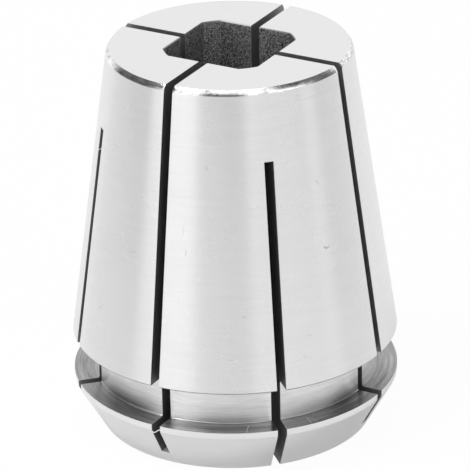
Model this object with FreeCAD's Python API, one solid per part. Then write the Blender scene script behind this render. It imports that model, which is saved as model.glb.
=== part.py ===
import FreeCAD, Part
import math
import os

# Slotted spring collet for a tap: 8 degree taper, square drive socket at the small end.
# Sizes are in millimetres and degrees. Heights run up the axis from the front face,
# which is the wide end that the collet stands on.

collet_length = 40.0

# Taper that seats in the tool holder
taper_foot_diameter = 33.0
taper_half_angle = 8.0
rear_chamfer_radial = 0.28
rear_chamfer_axial = 0.55

# Nose flange that the clamping nut presses on
flange_diameter = 33.0
flange_top_height = 5.25
flange_land_height = 0.65
nose_half_angle = 30.0
front_edge_break = 0.05

# Groove that the nut's extracting ring drops into
groove_width = 4.25
groove_depth = 2.2
groove_corner_radius = 0.2

# Round bore that grips the shank, open at the front face
bore_diameter = 12.5
bore_length = 25.0
bore_mouth_chamfer = 0.4

# Square socket that drives the shank's squared end, open at the rear face
socket_across_flats = 10.5
socket_corner_diameter = 13.1
socket_edge_break = 0.1

# Slots, cut in turn from the rear and from the front, which leave springy jaws
slots_from_each_end = 4
slot_width = 0.95
front_bridge_height = 1.45
rear_bridge_height = 7.25
slot_edge_break = 0.12

# Sizes that follow from those above
flange_radius = flange_diameter / 2
groove_root_radius = flange_radius - groove_depth
taper_foot_height = flange_top_height + groove_width
nose_cone_height = flange_top_height - flange_land_height
nose_foot_radius = flange_radius - nose_cone_height * math.tan(math.radians(nose_half_angle))
rear_chamfer_start = collet_length - rear_chamfer_axial
bore_mouth_radius = bore_diameter / 2 + bore_mouth_chamfer
rear_slot_floor = front_bridge_height
front_slot_end = collet_length - rear_bridge_height
slot_pitch = 360.0 / slots_from_each_end

# How far a cutter runs past the surface that it opens
overrun = 1.0

up = FreeCAD.Vector(0, 0, 1)
centre = FreeCAD.Vector(0, 0, 0)


def taper_radius(height):
    # Radius of the taper's surface at a height above the front face
    return taper_foot_diameter / 2 - (height - taper_foot_height) * math.tan(math.radians(taper_half_angle))


def turned(outline):
    # Solid of revolution from (radius, height) corners given in order
    corners = [FreeCAD.Vector(radius, 0, height) for radius, height in outline]
    section = Part.Face(Part.makePolygon(corners + corners[:1]))
    return section.revolve(centre, up, 360)


def is_groove_corner(edge):
    # Circles where the groove's root meets its two walls
    if not isinstance(edge.Curve, Part.Circle):
        return False
    return abs(edge.Curve.Radius - groove_root_radius) < 1e-6


def outside():
    # Corners of the outside form as (radius, height), from the front face up to the rear face
    nose_break_radius = nose_foot_radius + front_edge_break * math.tan(math.radians(nose_half_angle))
    return [
        (nose_foot_radius - front_edge_break, 0),
        (nose_break_radius, front_edge_break),
        (flange_radius, nose_cone_height),
        (flange_radius, flange_top_height),
        (groove_root_radius, flange_top_height),
        (groove_root_radius, taper_foot_height),
        (taper_foot_diameter / 2, taper_foot_height),
        (taper_radius(rear_chamfer_start), rear_chamfer_start),
        (taper_radius(collet_length) - rear_chamfer_radial, collet_length),
    ]


def blank():
    # Turned outside with no hole or slot yet
    solid = turned([(0, 0)] + outside() + [(0, collet_length)])
    corners = [edge for edge in solid.Edges if is_groove_corner(edge)]
    return solid.makeFillet(groove_corner_radius, corners)


def shank_bore():
    # Round bore with a chamfered mouth in the front face
    radius = bore_diameter / 2
    return turned([
        (0, -overrun),
        (bore_mouth_radius + overrun, -overrun),
        (radius, bore_mouth_chamfer),
        (radius, bore_length),
        (0, bore_length),
    ])


def square_prism(across_flats, foot, height):
    half = across_flats / 2
    return Part.makeBox(across_flats, across_flats, height, FreeCAD.Vector(-half, -half, foot))


def drive_socket():
    # Square with its corners rounded off on a circle, so that the round shank also passes
    height = collet_length - bore_length + overrun
    square = square_prism(socket_across_flats, bore_length, height)
    corners = Part.makeCylinder(socket_corner_diameter / 2, height, FreeCAD.Vector(0, 0, bore_length))
    return square.common(corners)


def is_socket_mouth(edge):
    # Edges of the socket that lie in the rear face, inside its outer rim
    box = edge.BoundBox
    in_rear_face = box.ZMin > collet_length - 1e-6
    reach = max(abs(box.XMin), abs(box.XMax), abs(box.YMin), abs(box.YMax))
    return in_rear_face and reach < socket_corner_diameter / 2 + 1e-6


def edge_bar(start, end):
    # Square bar on its corner along a line of the outside, which bevels both edges of a slot there
    half = slot_width / 2 + slot_edge_break
    first = FreeCAD.Vector(start[0], 0, start[1])
    run = FreeCAD.Vector(end[0], 0, end[1]) - first
    across = FreeCAD.Vector(0, half, 0)
    out = run.cross(FreeCAD.Vector(0, 1, 0)).normalize() * half
    corners = [first + across, first + out, first - across, first - out]
    return Part.Face(Part.makePolygon(corners + corners[:1])).extrude(run)


def between(start, end, foot, top):
    # Ends of the part of a line that lies between two heights; a level line stays whole
    if start[1] == end[1]:
        return start, end
    slope = (end[0] - start[0]) / (end[1] - start[1])
    heights = [max(start[1], foot), min(end[1], top)]
    return [(start[0] + slope * (height - start[1]), height) for height in heights]


def edge_bars(foot, top):
    # Bars along the front face, the outside and the rear face, as far as a slot runs through them
    corners = [(bore_mouth_radius, 0)] + outside() + [(socket_across_flats / 2, collet_length)]
    bars = []
    for start, end in zip(corners, corners[1:]):
        if start[1] < top and end[1] > foot:
            bars.append(edge_bar(*between(start, end, foot, top)))
    return bars


def slot(direction, foot, top):
    # One radial slot from the axis out through the wall, at an angle round the axis
    reach = max(taper_foot_diameter, flange_diameter) / 2 + overrun
    box = Part.makeBox(reach, slot_width, top - foot, FreeCAD.Vector(0, -slot_width / 2, foot))
    cutter = box.multiFuse(edge_bars(foot, top))
    cutter.rotate(centre, up, direction)
    return cutter


def slots():
    # Rear slots lie on the socket's flats, front slots half a pitch round, on its corners
    cutters = []
    for index in range(slots_from_each_end):
        rear_direction = index * slot_pitch
        front_direction = rear_direction + slot_pitch / 2
        cutters.append(slot(rear_direction, rear_slot_floor, collet_length + overrun))
        cutters.append(slot(front_direction, -overrun, front_slot_end))
    return cutters


def collet_body():
    solid = blank().cut(shank_bore()).cut(drive_socket())
    socket_mouth = [edge for edge in solid.Edges if is_socket_mouth(edge)]
    solid = solid.makeChamfer(socket_edge_break, socket_mouth)
    for cutter in slots():
        solid = solid.cut(cutter)
    return solid.removeSplitter()


os.makedirs("parts", exist_ok=True)
body = collet_body()
body.exportStep("parts/collet_body.step")

print("solids", len(body.Solids), "valid", body.isValid(), "faces", len(body.Faces))
print("volume mm3", round(body.Volume, 1), "nose foot radius", round(nose_foot_radius, 3))
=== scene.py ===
import bpy
import math
from mathutils import Matrix, Vector


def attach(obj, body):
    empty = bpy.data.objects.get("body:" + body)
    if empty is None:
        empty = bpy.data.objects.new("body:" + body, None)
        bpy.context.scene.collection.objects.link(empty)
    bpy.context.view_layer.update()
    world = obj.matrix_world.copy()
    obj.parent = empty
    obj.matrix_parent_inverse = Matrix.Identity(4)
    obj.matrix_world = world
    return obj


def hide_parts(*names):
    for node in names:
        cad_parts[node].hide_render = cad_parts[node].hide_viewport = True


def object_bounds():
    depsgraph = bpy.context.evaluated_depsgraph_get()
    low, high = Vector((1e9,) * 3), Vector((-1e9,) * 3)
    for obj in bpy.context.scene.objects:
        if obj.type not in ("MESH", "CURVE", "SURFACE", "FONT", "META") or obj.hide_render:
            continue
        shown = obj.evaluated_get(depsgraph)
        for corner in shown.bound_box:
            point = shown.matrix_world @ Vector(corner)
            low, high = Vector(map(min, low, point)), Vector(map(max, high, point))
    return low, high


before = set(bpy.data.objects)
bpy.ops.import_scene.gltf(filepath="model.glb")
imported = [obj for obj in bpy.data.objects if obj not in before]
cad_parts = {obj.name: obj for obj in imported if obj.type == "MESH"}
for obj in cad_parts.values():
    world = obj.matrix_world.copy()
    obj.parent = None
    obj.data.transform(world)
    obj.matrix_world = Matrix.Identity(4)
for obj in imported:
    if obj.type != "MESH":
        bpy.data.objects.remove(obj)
cadLow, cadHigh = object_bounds()
print("frame loaded:", sorted(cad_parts))

mm = 0.001


# Working by hand in edit mode

# How near vertices are merged and how far one may lie off the line it is picked for, in millimetres,
# and how many degrees apart two faces still count as flat
tolerances = {"merge": 0.002, "height": 0.001, "ring": 0.01, "socketWall": 0.005, "flat": 0.3}


def onlySelect(piece):
    bpy.ops.object.select_all(action="DESELECT")
    piece.select_set(True)
    bpy.context.view_layer.objects.active = piece


def editMode(piece, select="DESELECT"):
    onlySelect(piece)
    bpy.ops.object.mode_set(mode="EDIT")
    bpy.ops.mesh.select_mode(type="EDGE")
    bpy.ops.mesh.select_all(action=select)


def objectMode():
    bpy.ops.object.mode_set(mode="OBJECT")


def selectEdges(piece, wanted):
    # wanted(a, b) says whether the edge between two places, in millimetres, is taken
    editMode(piece)
    objectMode()
    places = [vertex.co / mm for vertex in piece.data.vertices]
    for edge in piece.data.edges:
        first, second = edge.vertices
        edge.select = wanted(places[first], places[second])
    bpy.ops.object.mode_set(mode="EDIT")


def mergeDoubles(piece):
    editMode(piece, "SELECT")
    bpy.ops.mesh.remove_doubles(threshold=tolerances["merge"] * mm)
    objectMode()


def applyModifier(piece, kind, **settings):
    onlySelect(piece)
    modifier = piece.modifiers.new(kind.title(), kind)
    for name, value in settings.items():
        setattr(modifier, name, value)
    bpy.ops.object.modifier_apply(modifier=modifier.name)


def cutWith(piece, tool, operation="DIFFERENCE"):
    # Boolean cut, after which the tool is thrown away
    applyModifier(piece, "BOOLEAN", operation=operation, solver="EXACT", object=tool)
    bpy.data.objects.remove(tool)


def radiusOf(place):
    return math.hypot(place.x, place.y)


def roundPlace(turn, radius, height):
    # A place in metres from its turn in degrees, radius and height in millimetres
    return Vector((radius * math.cos(math.radians(turn)), radius * math.sin(math.radians(turn)), height)) * mm


# The collet in millimetres and degrees, heights from the front face that it stands on

collet = {
    "length": (cadHigh.z - cadLow.z) / mm,
    "widest": 32.996,          # a hair under 33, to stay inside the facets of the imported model
    "taperAngle": 8.0,
    "taperFootBreak": 0.12,
    "flangeTop": 5.25,
    "flangeLand": 0.65,
    "landRound": 0.12,         # soft line where the nose begins
    "noseAngle": 30.0,
    "frontBreak": 0.05,
    "grooveWidth": 4.25,
    "grooveDepth": 2.2,
    "grooveCorner": 0.14,
    "rearChamferOut": 0.28,
    "rearChamferDown": 0.55,
    "chamferCrown": 0.025,     # how far the chamfer's middle stands proud
    "crownSteps": 4,
    "chamferFootRound": 0.05,
    "boreRadius": 6.25,
    "boreLength": 25.0,
    "boreMouth": 0.4,
    "pilotRadius": 4.0,        # hole that the socket is cut out from
    "socketFlat": 5.25,
    "socketCornerRadius": 6.55,
    "socketBreak": 0.1,
    "slotWidth": 0.95,
    "slotBreak": 0.11,
    "slotsPerEnd": 4,
    "frontBridge": 1.45,       # what a rear slot leaves closed at the front
    "rearBridge": 7.25,
    "facets": 160,
    "cornerFacets": 3,
    "landFacets": 2,
}
taperFoot = collet["flangeTop"] + collet["grooveWidth"]
grooveRoot = collet["widest"] / 2 - collet["grooveDepth"]
coneTop = collet["flangeTop"] - collet["flangeLand"]
chamferStart = collet["length"] - collet["rearChamferDown"]
frontSlotEnd = collet["length"] - collet["rearBridge"]
facetTurn = math.radians(360 / collet["facets"])
slotPitch = math.radians(360 / collet["slotsPerEnd"])
overrun = 1.0    # how far a cutter runs past the surface that it opens


def taperRadius(height):
    return collet["widest"] / 2 - (height - taperFoot) * math.tan(math.radians(collet["taperAngle"]))


def outsideCorners():
    # (radius, height) corners of the turned outside, from the front face to the rear face
    lean = math.tan(math.radians(collet["noseAngle"]))
    widest = collet["widest"] / 2
    noseFoot = widest - coneTop * lean
    footBreak = collet["taperFootBreak"]
    return [
        (noseFoot - collet["frontBreak"], 0),
        (noseFoot + collet["frontBreak"] * lean, collet["frontBreak"]),
        (widest, coneTop),
        (widest, collet["flangeTop"]),
        (grooveRoot, collet["flangeTop"]),
        (grooveRoot, taperFoot),
        (widest - footBreak, taperFoot),
        (taperRadius(taperFoot + footBreak), taperFoot + footBreak),
    ] + rearChamfer()


def rearChamfer():
    # The chamfer from the taper up to the rear face, turned slightly barrel-shaped on a parabola
    foot = Vector((taperRadius(chamferStart), chamferStart))
    top = Vector((taperRadius(collet["length"]) - collet["rearChamferOut"], collet["length"]))
    outward = Vector((top.y - foot.y, foot.x - top.x)).normalized()
    line = []
    for step in range(collet["crownSteps"] + 1):
        share = step / collet["crownSteps"]
        line.append(foot.lerp(top, share) + outward * collet["chamferCrown"] * 4 * share * (1 - share))
    return [tuple(place) for place in line]


def turnedBlank():
    # A ring is pulled up the outside, in over the rear face and down the bore, and closed on itself
    pilot = collet["pilotRadius"]
    bore = collet["boreRadius"]
    outline = outsideCorners()
    outline += [(pilot, collet["length"]), (pilot, collet["boreLength"]), (bore, collet["boreLength"])]
    outline += [(bore, collet["boreMouth"]), (bore + collet["boreMouth"], 0), outline[0]]
    radius, height = outline[0]
    bpy.ops.mesh.primitive_circle_add(vertices=collet["facets"], radius=radius * mm)
    blank = bpy.context.object
    blank.name = "collet_finish"
    editMode(blank, "SELECT")
    # Half a facet round, so that a slot leaves through the middle of a facet
    bpy.ops.transform.rotate(value=facetTurn / 2, orient_axis="Z", center_override=(0, 0, 0))
    for nextRadius, nextHeight in outline[1:]:
        bpy.ops.mesh.extrude_region_move()
        grow = nextRadius / radius
        bpy.ops.transform.resize(value=(grow, grow, 1), center_override=(0, 0, 0))
        bpy.ops.transform.translate(value=(0, 0, (nextHeight - height) * mm))
        radius, height = nextRadius, nextHeight
    bpy.ops.mesh.select_all(action="SELECT")
    bpy.ops.mesh.remove_doubles(threshold=tolerances["merge"] * mm)
    bpy.ops.mesh.normals_make_consistent(inside=False)
    objectMode()
    return blank


def roundRing(blank, radius, height, reach, segments):
    # Rounds one circle of the turned outside
    def onRing(a, b):
        offHeight = max(abs(a.z - height), abs(b.z - height))
        offRadius = max(abs(radiusOf(a) - radius), abs(radiusOf(b) - radius))
        return offHeight < tolerances["height"] and offRadius < tolerances["ring"]
    selectEdges(blank, onRing)
    bpy.ops.mesh.bevel(offset=reach * mm, segments=segments, profile=0.5)
    objectMode()


def roundTurnedCorners(blank):
    # Fillets of the groove's root, and the soft lines where the nose and the rear chamfer begin
    corner = collet["cornerFacets"]
    roundRing(blank, collet["widest"] / 2, coneTop, collet["landRound"], collet["landFacets"])
    roundRing(blank, grooveRoot, collet["flangeTop"], collet["grooveCorner"], corner)
    roundRing(blank, grooveRoot, taperFoot, collet["grooveCorner"], corner)
    roundRing(blank, taperRadius(chamferStart), chamferStart, collet["chamferFootRound"], corner)


def socketCutter():
    # A square bar with its corners turned off round
    depth = collet["length"] - collet["boreLength"] + overrun
    middle = collet["boreLength"] + depth / 2
    bpy.ops.mesh.primitive_cube_add(size=1, location=(0, 0, middle * mm))
    bar = bpy.context.object
    bar.scale = (2 * collet["socketFlat"] * mm, 2 * collet["socketFlat"] * mm, depth * mm)
    bpy.ops.object.transform_apply(location=True, scale=True)
    bpy.ops.mesh.primitive_cylinder_add(
        vertices=collet["facets"], radius=collet["socketCornerRadius"] * mm, depth=(depth + overrun) * mm,
        location=(0, 0, middle * mm), rotation=(0, 0, facetTurn / 2))
    roller = bpy.context.object
    bpy.ops.object.transform_apply(location=True, rotation=True)
    cutWith(bar, roller, "INTERSECT")
    mergeDoubles(bar)
    return bar


def breakSocketMouth(blank):
    def onWall(place):
        offFlat = abs(max(abs(place.x), abs(place.y)) - collet["socketFlat"])
        offCorner = abs(radiusOf(place) - collet["socketCornerRadius"])
        return min(offFlat, offCorner) < tolerances["socketWall"]

    def onMouth(a, b):
        atTop = min(a.z, b.z) > collet["length"] - tolerances["height"]
        return atTop and onWall(a) and onWall(b)
    selectEdges(blank, onMouth)
    bpy.ops.mesh.bevel(offset=collet["socketBreak"] * mm, segments=1)
    objectMode()


def slotCutter(turn, foot, top):
    # A thin plate from the axis out through the wall, turned round by an angle in radians
    reach = (collet["widest"] / 2 + overrun) * mm
    bpy.ops.mesh.primitive_cube_add(size=1)
    plate = bpy.context.object
    plate.scale = (reach, collet["slotWidth"] * mm, (top - foot) * mm)
    plate.location = (reach / 2, 0, (top + foot) / 2 * mm)
    bpy.ops.object.transform_apply(location=True, scale=True)
    plate.rotation_euler.z = turn
    bpy.ops.object.transform_apply(rotation=True)
    return plate


def cutSlots(blank):
    # Rear slots meet the socket's flats, front slots its corners, half a pitch round
    for index in range(collet["slotsPerEnd"]):
        cutWith(blank, slotCutter(index * slotPitch, collet["frontBridge"], collet["length"] + overrun))
        cutWith(blank, slotCutter((index + 0.5) * slotPitch, -overrun, frontSlotEnd))


def joinFlatFaces(piece):
    # Faces that the cuts split in one plane become one again
    editMode(piece, "SELECT")
    bpy.ops.mesh.dissolve_limited(angle_limit=math.radians(tolerances["flat"]))
    objectMode()


blank = turnedBlank()
roundTurnedCorners(blank)
cutWith(blank, socketCutter())
mergeDoubles(blank)
breakSocketMouth(blank)
cutSlots(blank)
mergeDoubles(blank)
joinFlatFaces(blank)
print("collet cut:", len(blank.data.polygons), "faces")


# Finishes of the collet's surfaces

# level is how much light the steel returns, and each shade how far lines, grain or clouds vary it.
# Sizes, pitches and depths are in millimetres, reach is in turns round the axis.
finishes = {
    "groundTaper": {
        "level": 0.84, "metallic": 1.0, "rough": 0.27, "anisotropic": 0.9, "cloudShade": 0.02,
        "lineShade": 0.07, "linePitch": 0.07, "lineReach": 0.02, "lineDepth": 0.0003,
        "grainShade": 0.02, "grainSize": 0.12, "grainDepth": 0.0, "grainRough": 0.01},
    "groundFace": {
        "level": 0.8, "metallic": 1.0, "rough": 0.25, "anisotropic": 0.0, "cloudShade": 0.02,
        "lineShade": 0.01, "linePitch": 0.09, "lineReach": 0.03, "lineDepth": 0.0003,
        "grainShade": 0.05, "grainSize": 0.12, "grainDepth": 0.0004, "grainRough": 0.03},
    "turnedChamfer": {
        "level": 0.84, "metallic": 0.92, "rough": 0.12, "anisotropic": 0.0, "cloudShade": 0.05,
        "lineShade": 1.5, "linePitch": 0.13, "lineReach": 0.005, "lineDepth": 0.008,
        "grainShade": 0.3, "grainSize": 0.08, "grainDepth": 0.008, "grainRough": 0.05},
    "turnedGroove": {
        "level": 0.815, "metallic": 1.0, "rough": 0.32, "anisotropic": 0.88, "cloudShade": 0.12,
        "lineShade": 0.36, "linePitch": 0.1, "lineReach": 0.02, "lineDepth": 0.003,
        "grainShade": 0.03, "grainSize": 0.1, "grainDepth": 0.0005, "grainRough": 0.05},
    # The shoulder's low level is painted shade of the groove it lies in; its turning lines are real
    "turnedShoulderPaintedShade": {
        "level": 0.35, "metallic": 1.0, "rough": 0.34, "anisotropic": 0.8, "cloudShade": 0.06,
        "lineShade": 0.52, "linePitch": 0.1, "lineReach": 0.03, "lineDepth": 0.003,
        "grainShade": 0.06, "grainSize": 0.1, "grainDepth": 0.001, "grainRough": 0.08},
    "turnedNose": {
        "level": 0.715, "metallic": 1.0, "rough": 0.2, "anisotropic": 0.5, "cloudShade": 0.04,
        "lineShade": 0.04, "linePitch": 0.12, "lineReach": 0.06, "lineDepth": 0.001,
        "grainShade": 0.05, "grainSize": 0.12, "grainDepth": 0.0004, "grainRough": 0.03},
    "slotWall": {
        "level": 0.3, "metallic": 0.9, "rough": 0.5, "anisotropic": 0.0, "cloudShade": 0.04,
        "lineShade": 0.02, "linePitch": 0.12, "lineReach": 0.06, "lineDepth": 0.001,
        "grainShade": 0.08, "grainSize": 0.15, "grainDepth": 0.004, "grainRough": 0.15},
    "slotFloor": {
        "level": 1.0, "metallic": 0.0, "rough": 0.6, "anisotropic": 0.0, "cloudShade": 0.05,
        "lineShade": 0.4, "linePitch": 0.12, "lineReach": 0.06, "lineDepth": 0.001,
        "grainShade": 0.3, "grainSize": 0.15, "grainDepth": 0.004, "grainRough": 0.1},
    "sparkCutBore": {
        "level": 0.43, "metallic": 1.0, "rough": 0.45, "anisotropic": 0.0, "cloudShade": 0.05,
        "lineShade": 0.0, "linePitch": 0.12, "lineReach": 0.06, "lineDepth": 0.0,
        "grainShade": 3.0, "grainSize": 0.12, "grainDepth": 0.06, "grainRough": 0.3},
    # White and not metallic: a painted highlight along the deburred edges and the burrs
    "brokenEdgePaintedHighlight": {
        "level": 1.0, "metallic": 0.0, "rough": 0.5, "anisotropic": 0.0, "cloudShade": 0.0,
        "lineShade": 0.0, "linePitch": 0.12, "lineReach": 0.06, "lineDepth": 0.0,
        "grainShade": 0.03, "grainSize": 0.1, "grainDepth": 0.001, "grainRough": 0.05},
    # Darker than the taper: painted shade, a thin dark line under the taper's foot
    "footEdgePaintedShade": {
        "level": 0.6, "metallic": 1.0, "rough": 0.25, "anisotropic": 0.0, "cloudShade": 0.0,
        "lineShade": 0.0, "linePitch": 0.12, "lineReach": 0.06, "lineDepth": 0.0,
        "grainShade": 0.03, "grainSize": 0.1, "grainDepth": 0.001, "grainRough": 0.05},
    "turnedLand": {
        "level": 0.81, "metallic": 1.0, "rough": 0.22, "anisotropic": 0.5, "cloudShade": 0.04,
        "lineShade": 0.1, "linePitch": 0.12, "lineReach": 0.02, "lineDepth": 0.001,
        "grainShade": 0.02, "grainSize": 0.12, "grainDepth": 0.0004, "grainRough": 0.03},
    # Darker than the groove's wall: painted shade in the groove's inner corner
    "grooveFilletPaintedShade": {
        "level": 0.55, "metallic": 1.0, "rough": 0.35, "anisotropic": 0.0, "cloudShade": 0.04,
        "lineShade": 0.3, "linePitch": 0.1, "lineReach": 0.02, "lineDepth": 0.002,
        "grainShade": 0.02, "grainSize": 0.12, "grainDepth": 0.0004, "grainRough": 0.03},
}
finishNames = list(finishes)


# A face's finish is told by where its middle lies and how it faces

faceLimits = {
    "slotGap": 0.02,       # millimetres off a slot's wall or floor
    "holeGap": 0.3,        # millimetres out past the socket's corners
    "mouthDepth": 1.0,     # millimetres in from a hole's mouth
    "endGap": 0.05,        # millimetres off an end face
    "ledgeGap": 0.01,      # millimetres off the groove's lower and upper wall
    "square": 0.95,        # part of a normal along a direction that it faces squarely
    "inward": -0.1,        # outward part of a normal that looks towards the axis
    "filletLean": 0.15,    # upward part of a normal on the groove's lower fillet
}


def slotPart(centre, normal):
    # Tells a slot's two walls and its floor from the other faces
    slotTurn = round(math.atan2(centre.y, centre.x) / (slotPitch / 2)) * (slotPitch / 2)
    across = Vector((-math.sin(slotTurn), math.cos(slotTurn), 0))
    offset = abs(centre.dot(across))
    offWall = abs(offset - collet["slotWidth"] / 2)
    offFloor = min(abs(centre.z - height) for height in (collet["frontBridge"], frontSlotEnd))
    isFloor = abs(normal.z) > faceLimits["square"] and offFloor < faceLimits["slotGap"]
    isWall = abs(normal.dot(across)) > faceLimits["square"] and offWall < faceLimits["slotGap"]
    if isFloor and offset < collet["slotWidth"] / 2:
        return "slotFloor"
    return "slotWall" if isWall else None


def holePart(centre, normal):
    # The socket's broken mouth is as smooth as a slot's wall, the rest of both holes is spark-cut
    facesIn = normal.xy.dot(centre.xy.normalized()) < faceLimits["inward"]
    isDeep = faceLimits["mouthDepth"] < centre.z < collet["length"] - faceLimits["mouthDepth"]
    if facesIn and centre.z > collet["length"] - collet["socketBreak"]:
        return "slotWall"
    if radiusOf(centre) < collet["socketCornerRadius"] + faceLimits["holeGap"] and (facesIn or isDeep):
        return "sparkCutBore"
    return None


def outsidePart(centre, normal):
    # From the rear end down to the nose
    ledge = faceLimits["ledgeGap"]
    if min(centre.z, collet["length"] - centre.z) < faceLimits["endGap"]:
        return "groundFace"
    if centre.z > chamferStart:
        return "turnedChamfer"
    if centre.z > taperFoot + collet["taperFootBreak"]:
        return "groundTaper"
    if centre.z > taperFoot + ledge:
        return "footEdgePaintedShade"
    if centre.z > collet["flangeTop"] + ledge:
        return "grooveFilletPaintedShade" if normal.z > faceLimits["filletLean"] else "turnedGroove"
    if centre.z > collet["flangeTop"] - ledge:
        return "turnedShoulderPaintedShade"
    return "turnedLand" if centre.z > coneTop else "turnedNose"


def markFinishes(blank):
    blank.data.materials.clear()
    for name in finishNames:
        blank.data.materials.append(bpy.data.materials.new(name))
    for face in blank.data.polygons:
        centre = face.center / mm
        finish = slotPart(centre, face.normal) or holePart(centre, face.normal)
        face.material_index = finishNames.index(finish or outsidePart(centre, face.normal))


# Sharp edges get the fine break that deburring leaves, kept off the nearly flat joins between facets

deburring = {"segments": 2, "leastCorner": 70.0, "smoothWithin": 35.0, "normalWeight": 80}


def softenEdges(blank):
    # The break's faces take the white edge finish, a painted highlight
    applyModifier(
        blank, "BEVEL", width=collet["slotBreak"] * mm, segments=deburring["segments"],
        limit_method="ANGLE", angle_limit=math.radians(deburring["leastCorner"]),
        use_clamp_overlap=True, miter_outer="MITER_ARC", loop_slide=True,
        material=finishNames.index("brokenEdgePaintedHighlight"))
    mergeDoubles(blank)
    onlySelect(blank)
    bpy.ops.object.shade_smooth_by_angle(angle=math.radians(deburring["smoothWithin"]))
    applyModifier(
        blank, "WEIGHTED_NORMAL", mode="FACE_AREA", weight=deburring["normalWeight"], keep_sharp=True)


# Two threads of swarf left across slots, each led by five (turn, radius, height) places

burrs = [
    {"thickness": 0.085, "line": [
        (-92.0, 16.36, 4.6), (-91.0, 16.41, 4.1), (-90.1, 16.42, 4.45), (-89.0, 16.41, 4.95),
        (-88.0, 16.36, 4.8)]},
    {"thickness": 0.05, "line": [
        (-137.4, 13.5, 30.3), (-136.2, 13.52, 30.45), (-135.0, 13.5, 30.5), (-133.8, 13.47, 30.8),
        (-132.6, 13.42, 30.9)]},
]


def burrThread(blank, line, thickness):
    bpy.ops.curve.primitive_nurbs_path_add()
    thread = bpy.context.object
    for point, place in zip(thread.data.splines[0].points, line):
        point.co = (*roundPlace(*place), 1)
    thread.data.bevel_depth = thickness / 2 * mm
    thread.data.bevel_resolution = 2
    thread.data.use_fill_caps = True
    bpy.ops.object.convert(target="MESH")
    # The thread takes the same white edge finish, a painted highlight
    thread.data.materials.clear()
    thread.data.materials.append(bpy.data.materials["brokenEdgePaintedHighlight"])
    bpy.ops.object.shade_smooth()
    onlySelect(blank)
    thread.select_set(True)
    bpy.ops.object.join()


markFinishes(blank)
softenEdges(blank)
for burr in burrs:
    burrThread(blank, burr["line"], burr["thickness"])
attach(blank, "root")
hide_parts("collet_body")
print("collet finished:", len(blank.data.polygons), "faces")


# Shader maths: sums and products of wires add their own Math nodes

class Wire:
    def __init__(self, tree, socket=None):
        self.tree = tree
        self.socket = socket

    def node(self, kind, settings=None, inputs=None, output=0):
        # Any other node: its settings first, then values or wires for its sockets
        made = self.tree.nodes.new(kind)
        for name, value in (settings or {}).items():
            setattr(made, name, value)
        for name, value in (inputs or {}).items():
            if isinstance(value, Wire):
                self.tree.links.new(value.socket, made.inputs[name])
            else:
                made.inputs[name].default_value = value
        return Wire(self.tree, made.outputs[output]) if made.outputs else None

    def beside(self, name):
        # Another output of the node that this wire comes from
        return Wire(self.tree, self.socket.node.outputs[name])

    def maths(self, operation, first, second=0.0):
        return self.node("ShaderNodeMath", {"operation": operation}, {0: first, 1: second})

    def __add__(self, other):
        return self.maths("ADD", self, other)

    def __radd__(self, other):
        return self.maths("ADD", other, self)

    def __sub__(self, other):
        return self.maths("SUBTRACT", self, other)

    def __rsub__(self, other):
        return self.maths("SUBTRACT", other, self)

    def __mul__(self, other):
        return self.maths("MULTIPLY", self, other)

    def __rmul__(self, other):
        return self.maths("MULTIPLY", other, self)

    def __truediv__(self, other):
        return self.maths("DIVIDE", self, other)

    def __rtruediv__(self, other):
        return self.maths("DIVIDE", other, self)

    def __pow__(self, other):
        return self.maths("POWER", self, other)

    def __rpow__(self, other):
        return self.maths("POWER", other, self)

    def __abs__(self):
        return self.maths("ABSOLUTE", self)

    def swing(self, amount):
        # A noise's swing to both sides of its middle
        return (self - 0.5) * amount

    def between(self, low, high, start=0.0, end=1.0):
        # Runs smoothly from start to end as this wire runs from low to high
        return self.node("ShaderNodeMapRange", {"interpolation_type": "SMOOTHSTEP"},
                         {"Value": self, "From Min": low, "From Max": high, "To Min": start, "To Max": end})


def emptyTree(owner):
    # Clears the nodes of a material or world, and gives a wire to start from
    owner.use_nodes = True
    owner.node_tree.nodes.clear()
    return Wire(owner.node_tree)


def parts(wire):
    # The three numbers of a vector
    split = wire.node("ShaderNodeSeparateXYZ", {}, {"Vector": wire})
    return [split.beside(axis) for axis in ("X", "Y", "Z")]


def grey(wire, level):
    # A neutral colour from a number
    return wire.node("ShaderNodeCombineColor", {}, {"Red": level, "Green": level, "Blue": level})


# Steel shaders, all in object space

steelLook = {
    "noiseDetail": 2.0, "noiseRoughness": 0.6,
    "broadPitch": 5, "broadReach": 3,       # broad streaks, in pitches and reaches of the fine lines
    "cloudSize": 6.0, "cloudRough": 0.06,   # slow change over the surface, in millimetres
    "sheenTurn": 0.25,                      # lays the sheen along the turning lines
    "markCore": 0.2, "markEdge": 0.6,       # where a mark's shade is full and gone, in its widths
}


def turningNoise(place, pitch, reach):
    # Streaks that run round the axis: pitch is their spacing in millimetres, reach their length in turns
    x, y, z = parts(place)
    radius = (x * x + y * y) ** 0.5
    across = 1 / (pitch * mm)
    along = 1 / (reach * 2 * math.pi)
    vector = place.node("ShaderNodeCombineXYZ", {},
                        {"X": radius * across, "Y": z * across, "Z": x / radius * along})
    return place.node("ShaderNodeTexNoise", {"noise_dimensions": "4D"}, {
        "Vector": vector, "W": y / radius * along, "Scale": 1.0,
        "Detail": steelLook["noiseDetail"], "Roughness": steelLook["noiseRoughness"]})


def grainNoise(place, size):
    return place.node("ShaderNodeTexNoise", {"noise_dimensions": "3D"}, {
        "Vector": place, "Scale": 1 / (size * mm),
        "Detail": steelLook["noiseDetail"], "Roughness": steelLook["noiseRoughness"]})


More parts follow.
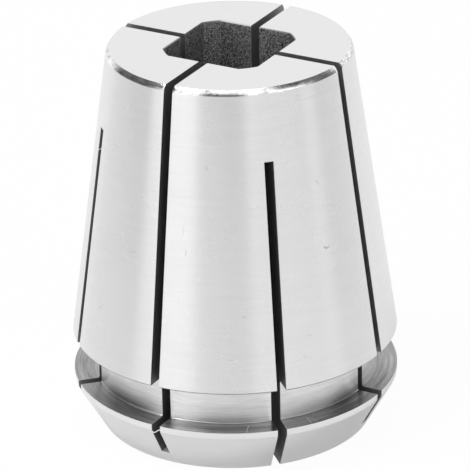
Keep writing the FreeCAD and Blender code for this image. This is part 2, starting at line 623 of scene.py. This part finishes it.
def paintedScratchShading(place, mark):
    # Painted shading of one straight scratch or nick, painted shade where negative and a painted glint where
    # positive: full along its line, gone at its edge
    first, second = (roundPlace(*mark[end]) for end in ("from", "to"))
    along = second - first
    core = mark["width"] * steelLook["markCore"] * mm
    edge = mark["width"] * steelLook["markEdge"] * mm
    offset = place.node("ShaderNodeVectorMath", {"operation": "SUBTRACT"}, {0: place, 1: first})
    share = place.node("ShaderNodeVectorMath", {"operation": "DOT_PRODUCT"},
                       {0: offset, 1: along / along.length_squared}, output="Value")
    share = place.node("ShaderNodeClamp", {}, {"Value": share})
    reached = place.node("ShaderNodeVectorMath", {"operation": "SCALE"}, {0: along, "Scale": share})
    gap = place.node("ShaderNodeVectorMath", {"operation": "DISTANCE"}, {0: offset, 1: reached},
                     output="Value")
    return gap.between(core, edge, mark["shade"], 0.0)


def steelShader(name, finish):
    # One finish: lines, grain and clouds vary its brightness, and lines and grain stand out as relief
    start = emptyTree(bpy.data.materials[name])
    place = start.node("ShaderNodeTexCoord", output="Object")
    lines = turningNoise(place, finish["linePitch"], finish["lineReach"])
    broad = turningNoise(place, finish["linePitch"] * steelLook["broadPitch"],
                         finish["lineReach"] * steelLook["broadReach"])
    grain = grainNoise(place, finish["grainSize"])
    cloud = grainNoise(place, steelLook["cloudSize"])
    level = finish["level"] + lines.swing(finish["lineShade"]) + broad.swing(finish["lineShade"])
    level = level + cloud.swing(finish["cloudShade"]) + grain.swing(finish["grainShade"])
    # Nicks and scratches add painted shade and painted glints to the level
    for mark in scratchesWithPaintedLight.get(name, []):
        level = level + paintedScratchShading(place, mark)
    level = start.node("ShaderNodeClamp", {}, {"Value": level})
    rough = finish["rough"] + cloud.swing(steelLook["cloudRough"]) + grain.swing(finish["grainRough"])
    height = (lines + broad) * finish["lineDepth"] + grain * finish["grainDepth"]
    normal = start.node("ShaderNodeBump", {}, {"Strength": 1.0, "Distance": mm, "Height": height})
    shader = start.node("ShaderNodeBsdfPrincipled", {"distribution": "MULTI_GGX"}, {
        "Base Color": grey(start, level), "Metallic": finish["metallic"], "Roughness": rough,
        "Normal": normal, "Anisotropic": finish["anisotropic"],
        "Anisotropic Rotation": steelLook["sheenTurn"]})
    start.node("ShaderNodeOutputMaterial", {}, {"Surface": shader})


# Small nicks and scratches seen in the photo, with painted shading: a dark mark is painted shade in a nick or
# scratch, a light one a painted glint. Ends as (turn, radius, height), shade added to the level

scratchesWithPaintedLight = {
    "groundTaper": [
        {"from": (-23.3, 14.58, 23.1), "to": (-22.3, 14.62, 22.86), "width": 0.12, "shade": -0.45},
        {"from": (-22.3, 14.62, 22.86), "to": (-20.9, 14.61, 22.95), "width": 0.12, "shade": -0.4},
        {"from": (-22.3, 14.6, 22.98), "to": (-22.1, 14.6, 22.99), "width": 0.1, "shade": 0.3},
        {"from": (-80.9, 14.14, 26.28), "to": (-80.7, 14.24, 25.58), "width": 0.16, "shade": -0.1},
        {"from": (-79.3, 14.47, 23.91), "to": (-79.5, 14.54, 23.44), "width": 0.16, "shade": -0.16},
        {"from": (-73.9, 14.82, 21.42), "to": (-74.0, 14.88, 21.01), "width": 0.1, "shade": 0.1},
        {"from": (-71.6, 13.27, 32.48), "to": (-71.2, 13.30, 32.24), "width": 0.14, "shade": -0.16},
        {"from": (-69.9, 13.27, 32.46), "to": (-69.2, 13.26, 32.53), "width": 0.1, "shade": 0.12},
        {"from": (-69.0, 13.34, 32.01), "to": (-67.0, 13.42, 31.43), "width": 0.1, "shade": 0.05},
        {"from": (-24.0, 13.64, 29.87), "to": (-22.5, 13.70, 29.39), "width": 0.12, "shade": -0.14},
        {"from": (-34.3, 15.76, 14.77), "to": (-32.2, 15.78, 14.60), "width": 0.1, "shade": -0.13},
        {"from": (-36.0, 16.06, 12.63), "to": (-35.5, 16.08, 12.50), "width": 0.14, "shade": -0.14},
        {"from": (-35.3, 16.09, 12.44), "to": (-33.3, 16.10, 12.37), "width": 0.1, "shade": -0.07},
        {"from": (-63.9, 16.00, 13.09), "to": (-61.6, 16.00, 13.06), "width": 0.1, "shade": -0.15},
        {"from": (-57.8, 15.38, 17.45), "to": (-56.9, 15.39, 17.42), "width": 0.26, "shade": -0.08},
        {"from": (-104.8, 14.67, 22.53), "to": (-101.7, 14.64, 22.71), "width": 0.12, "shade": -0.13},
        {"from": (-118.6, 15.09, 19.56), "to": (-118.2, 15.12, 19.31), "width": 0.14, "shade": -0.14},
        {"from": (-120.5, 15.71, 15.14), "to": (-118.3, 15.64, 15.63), "width": 0.14, "shade": -0.14},
        {"from": (-111.7, 12.80, 35.86), "to": (-111.2, 12.80, 35.82), "width": 0.12, "shade": 0.15},
    ],
    "turnedShoulderPaintedShade": [
        {"from": (-56.3, 14.9, 5.25), "to": (-57.0, 15.5, 5.25), "width": 0.09, "shade": 0.5},
        {"from": (-57.0, 15.5, 5.25), "to": (-57.5, 16.3, 5.25), "width": 0.09, "shade": 0.5},
        {"from": (-33.6, 16.2, 5.25), "to": (-33.2, 15.0, 5.25), "width": 0.09, "shade": 0.35},
        {"from": (-33.2, 15.0, 5.25), "to": (-31.9, 15.5, 5.25), "width": 0.09, "shade": 0.35},
        {"from": (-31.9, 15.5, 5.25), "to": (-31.4, 16.3, 5.25), "width": 0.09, "shade": 0.35},
    ],
}
for name, finish in finishes.items():
    steelShader(name, finish)
print("finishes made:", len(finishes))


# Camera fitted to the photo: angles in degrees, places and sensor in millimetres, its range in metres

cameraView = {
    "azimuth": 29.3, "elevation": 24.451, "roll": -1.160,
    "distance": 401.48, "targetHeight": 20.0, "shiftRight": 0.179, "shiftUp": -0.655,
    "focalPixels": 3979.8, "framePixels": 470, "sensor": 36.0,
    "nearest": 0.01, "farthest": 10.0,
}


def direction(azimuth, elevation):
    # Unit vector away from the object: azimuth grows from -Y towards +X, both in degrees
    turn = math.radians(azimuth)
    rise = math.radians(elevation)
    return Vector((math.sin(turn) * math.cos(rise), -math.cos(turn) * math.cos(rise), math.sin(rise)))


def placeCamera():
    view = cameraView
    roll = math.radians(view["roll"])
    back = direction(view["azimuth"], view["elevation"])
    levelRight = direction(view["azimuth"] + 90, 0)
    above = back.cross(levelRight)
    right = levelRight * math.cos(roll) + above * math.sin(roll)
    upward = above * math.cos(roll) - levelRight * math.sin(roll)
    place = Vector((0, 0, view["targetHeight"])) + back * view["distance"]
    place += right * view["shiftRight"] + upward * view["shiftUp"]
    bpy.ops.object.camera_add()
    camera = bpy.context.object
    camera.name = "photoCamera"
    turn = Matrix((right, upward, back)).transposed()
    camera.matrix_world = Matrix.Translation(place * mm) @ turn.to_4x4()
    camera.data.sensor_width = view["sensor"]
    camera.data.lens = view["focalPixels"] / view["framePixels"] * view["sensor"]
    camera.data.clip_start = view["nearest"]
    camera.data.clip_end = view["farthest"]
    bpy.context.scene.camera = camera


placeCamera()


# Studio: a pale floor, a soft surround and one soft lamp

# Sizes are in metres. Turns are in degrees from the camera's side of the object, growing to its right
studio = {
    "floorRadius": 0.38, "floorSides": 96, "floorColour": 0.92,
    "floorSeen": 0.96, "floorMirrored": 0.36,    # how white the floor is to the camera and in the steel
    "lampPower": 3.0, "lampSize": 0.3, "lampTurn": -64.0, "lampRise": 60.0, "lampDistance": 0.8,
}

# Each panel of the surround covers the one before: its middle turn and half width, the rises of its
# foot and top, its brightness, and how softly it ends, all in degrees but the brightness
surround = {
    "level": 0.965,
    "panels": [
        {"turn": 180, "reach": 48, "foot": -15, "top": 60, "level": 1.0, "soft": 12},    # behind
        {"turn": -94, "reach": 34, "foot": 24, "top": 95, "level": 0.08, "soft": 3},     # dark sides
        {"turn": 98, "reach": 52, "foot": 30, "top": 95, "level": 0.09, "soft": 2},
        {"turn": -100, "reach": 27, "foot": -3, "top": 26, "level": 0.04, "soft": 4},
        {"turn": 95, "reach": 16, "foot": 2, "top": 31, "level": 0.08, "soft": 3},
        {"turn": -5, "reach": 51, "foot": 30, "top": 55, "level": 1.3, "soft": 2},       # bright front
        {"turn": -7, "reach": 53, "foot": 56, "top": 74, "level": 1.1, "soft": 3},
        {"turn": -48, "reach": 14, "foot": 45, "top": 95, "level": 0.35, "soft": 3},
        {"turn": -3, "reach": 64, "foot": 15, "top": 30, "level": 1.2, "soft": 2},
        {"turn": -43, "reach": 9, "foot": 19, "top": 30, "level": 1.3, "soft": 4},
        {"turn": 50, "reach": 10, "foot": 18, "top": 30, "level": 1.6, "soft": 4},
        {"turn": 0.5, "reach": 12, "foot": -15, "top": 12, "level": 0.6, "soft": 7},     # dim low front
        {"turn": 18, "reach": 4, "foot": -15, "top": 12, "level": 0.84, "soft": 3},
        {"turn": 43, "reach": 23, "foot": -15, "top": 14, "level": 0.7, "soft": 3},
        {"turn": -20, "reach": 10, "foot": -15, "top": 11, "level": 0.66, "soft": 3},
        {"turn": -7, "reach": 21, "foot": 11, "top": 40, "level": 0.05, "soft": 2},      # dark camera side
        {"turn": 0, "reach": 50, "foot": 72, "top": 120, "level": 0.9, "soft": 8},       # overhead
    ],
}


def makeFloor():
    bpy.ops.mesh.primitive_circle_add(
        vertices=studio["floorSides"], radius=studio["floorRadius"], fill_type="NGON")
    floor = bpy.context.object
    floor.name = "studioFloor"
    material = bpy.data.materials.new("paleFloor")
    start = emptyTree(material)
    shade = (studio["floorColour"],) * 3 + (1,)
    paint = start.node("ShaderNodeBsdfDiffuse", {}, {"Color": shade})
    glow = start.node("ShaderNodeEmission", {}, {"Color": (1, 1, 1, 1), "Strength": 1.0})
    rays = start.node("ShaderNodeLightPath")
    seen = rays.beside("Is Camera Ray") * studio["floorSeen"]
    mirrored = (rays.beside("Is Glossy Ray") + rays.beside("Is Transmission Ray")) * studio["floorMirrored"]
    share = start.maths("MAXIMUM", seen, mirrored)
    mixed = start.node("ShaderNodeMixShader", {}, {0: share, 1: paint, 2: glow})
    start.node("ShaderNodeOutputMaterial", {}, {"Surface": mixed})
    floor.data.materials.append(material)


def panelMask(turn, rise, panel):
    # 1 inside a panel of the surround, falling softly to 0 at its edges
    soft = panel["soft"]
    apart = 180 - abs(180 - abs(turn - panel["turn"]))    # the short way round
    sides = 1 - apart.between(panel["reach"] - soft, panel["reach"] + soft)
    foot = rise.between(panel["foot"] - soft, panel["foot"] + soft)
    top = 1 - rise.between(panel["top"] - soft, panel["top"] + soft)
    return sides * foot * top


def makeSurround():
    # Brightness by direction, white to the camera
    world = bpy.data.worlds.new("studioSurround")
    bpy.context.scene.world = world
    start = emptyTree(world)
    x, y, z = parts(start.node("ShaderNodeTexCoord", output="Generated"))
    front = direction(cameraView["azimuth"], 0)
    right = direction(cameraView["azimuth"] + 90, 0)
    facing = x * front.x + y * front.y
    sideways = x * right.x + y * right.y
    turn = sideways.maths("ARCTAN2", sideways, facing) * math.degrees(1)
    rise = z.maths("ARCSINE", z) * math.degrees(1)
    glow = surround["level"]
    for panel in surround["panels"]:
        mask = panelMask(turn, rise, panel)
        glow = glow + mask * (panel["level"] - glow)
    glow = start.maths("MAXIMUM", glow, start.node("ShaderNodeLightPath", output="Is Camera Ray"))
    background = start.node("ShaderNodeBackground", {}, {"Color": grey(start, glow), "Strength": 1.0})
    start.node("ShaderNodeOutputWorld", {}, {"Surface": background})


def makeLamp():
    away = direction(cameraView["azimuth"] + studio["lampTurn"], studio["lampRise"])
    bpy.ops.object.light_add(type="AREA", location=away * studio["lampDistance"])
    lamp = bpy.context.object
    lamp.name = "softLamp"
    lamp.rotation_euler = away.to_track_quat("Z", "Y").to_euler()
    lamp.data.size = studio["lampSize"]
    lamp.data.energy = studio["lampPower"]


makeFloor()
makeSurround()
makeLamp()
bpy.context.scene.view_settings.view_transform = "Standard"
print("studio set")
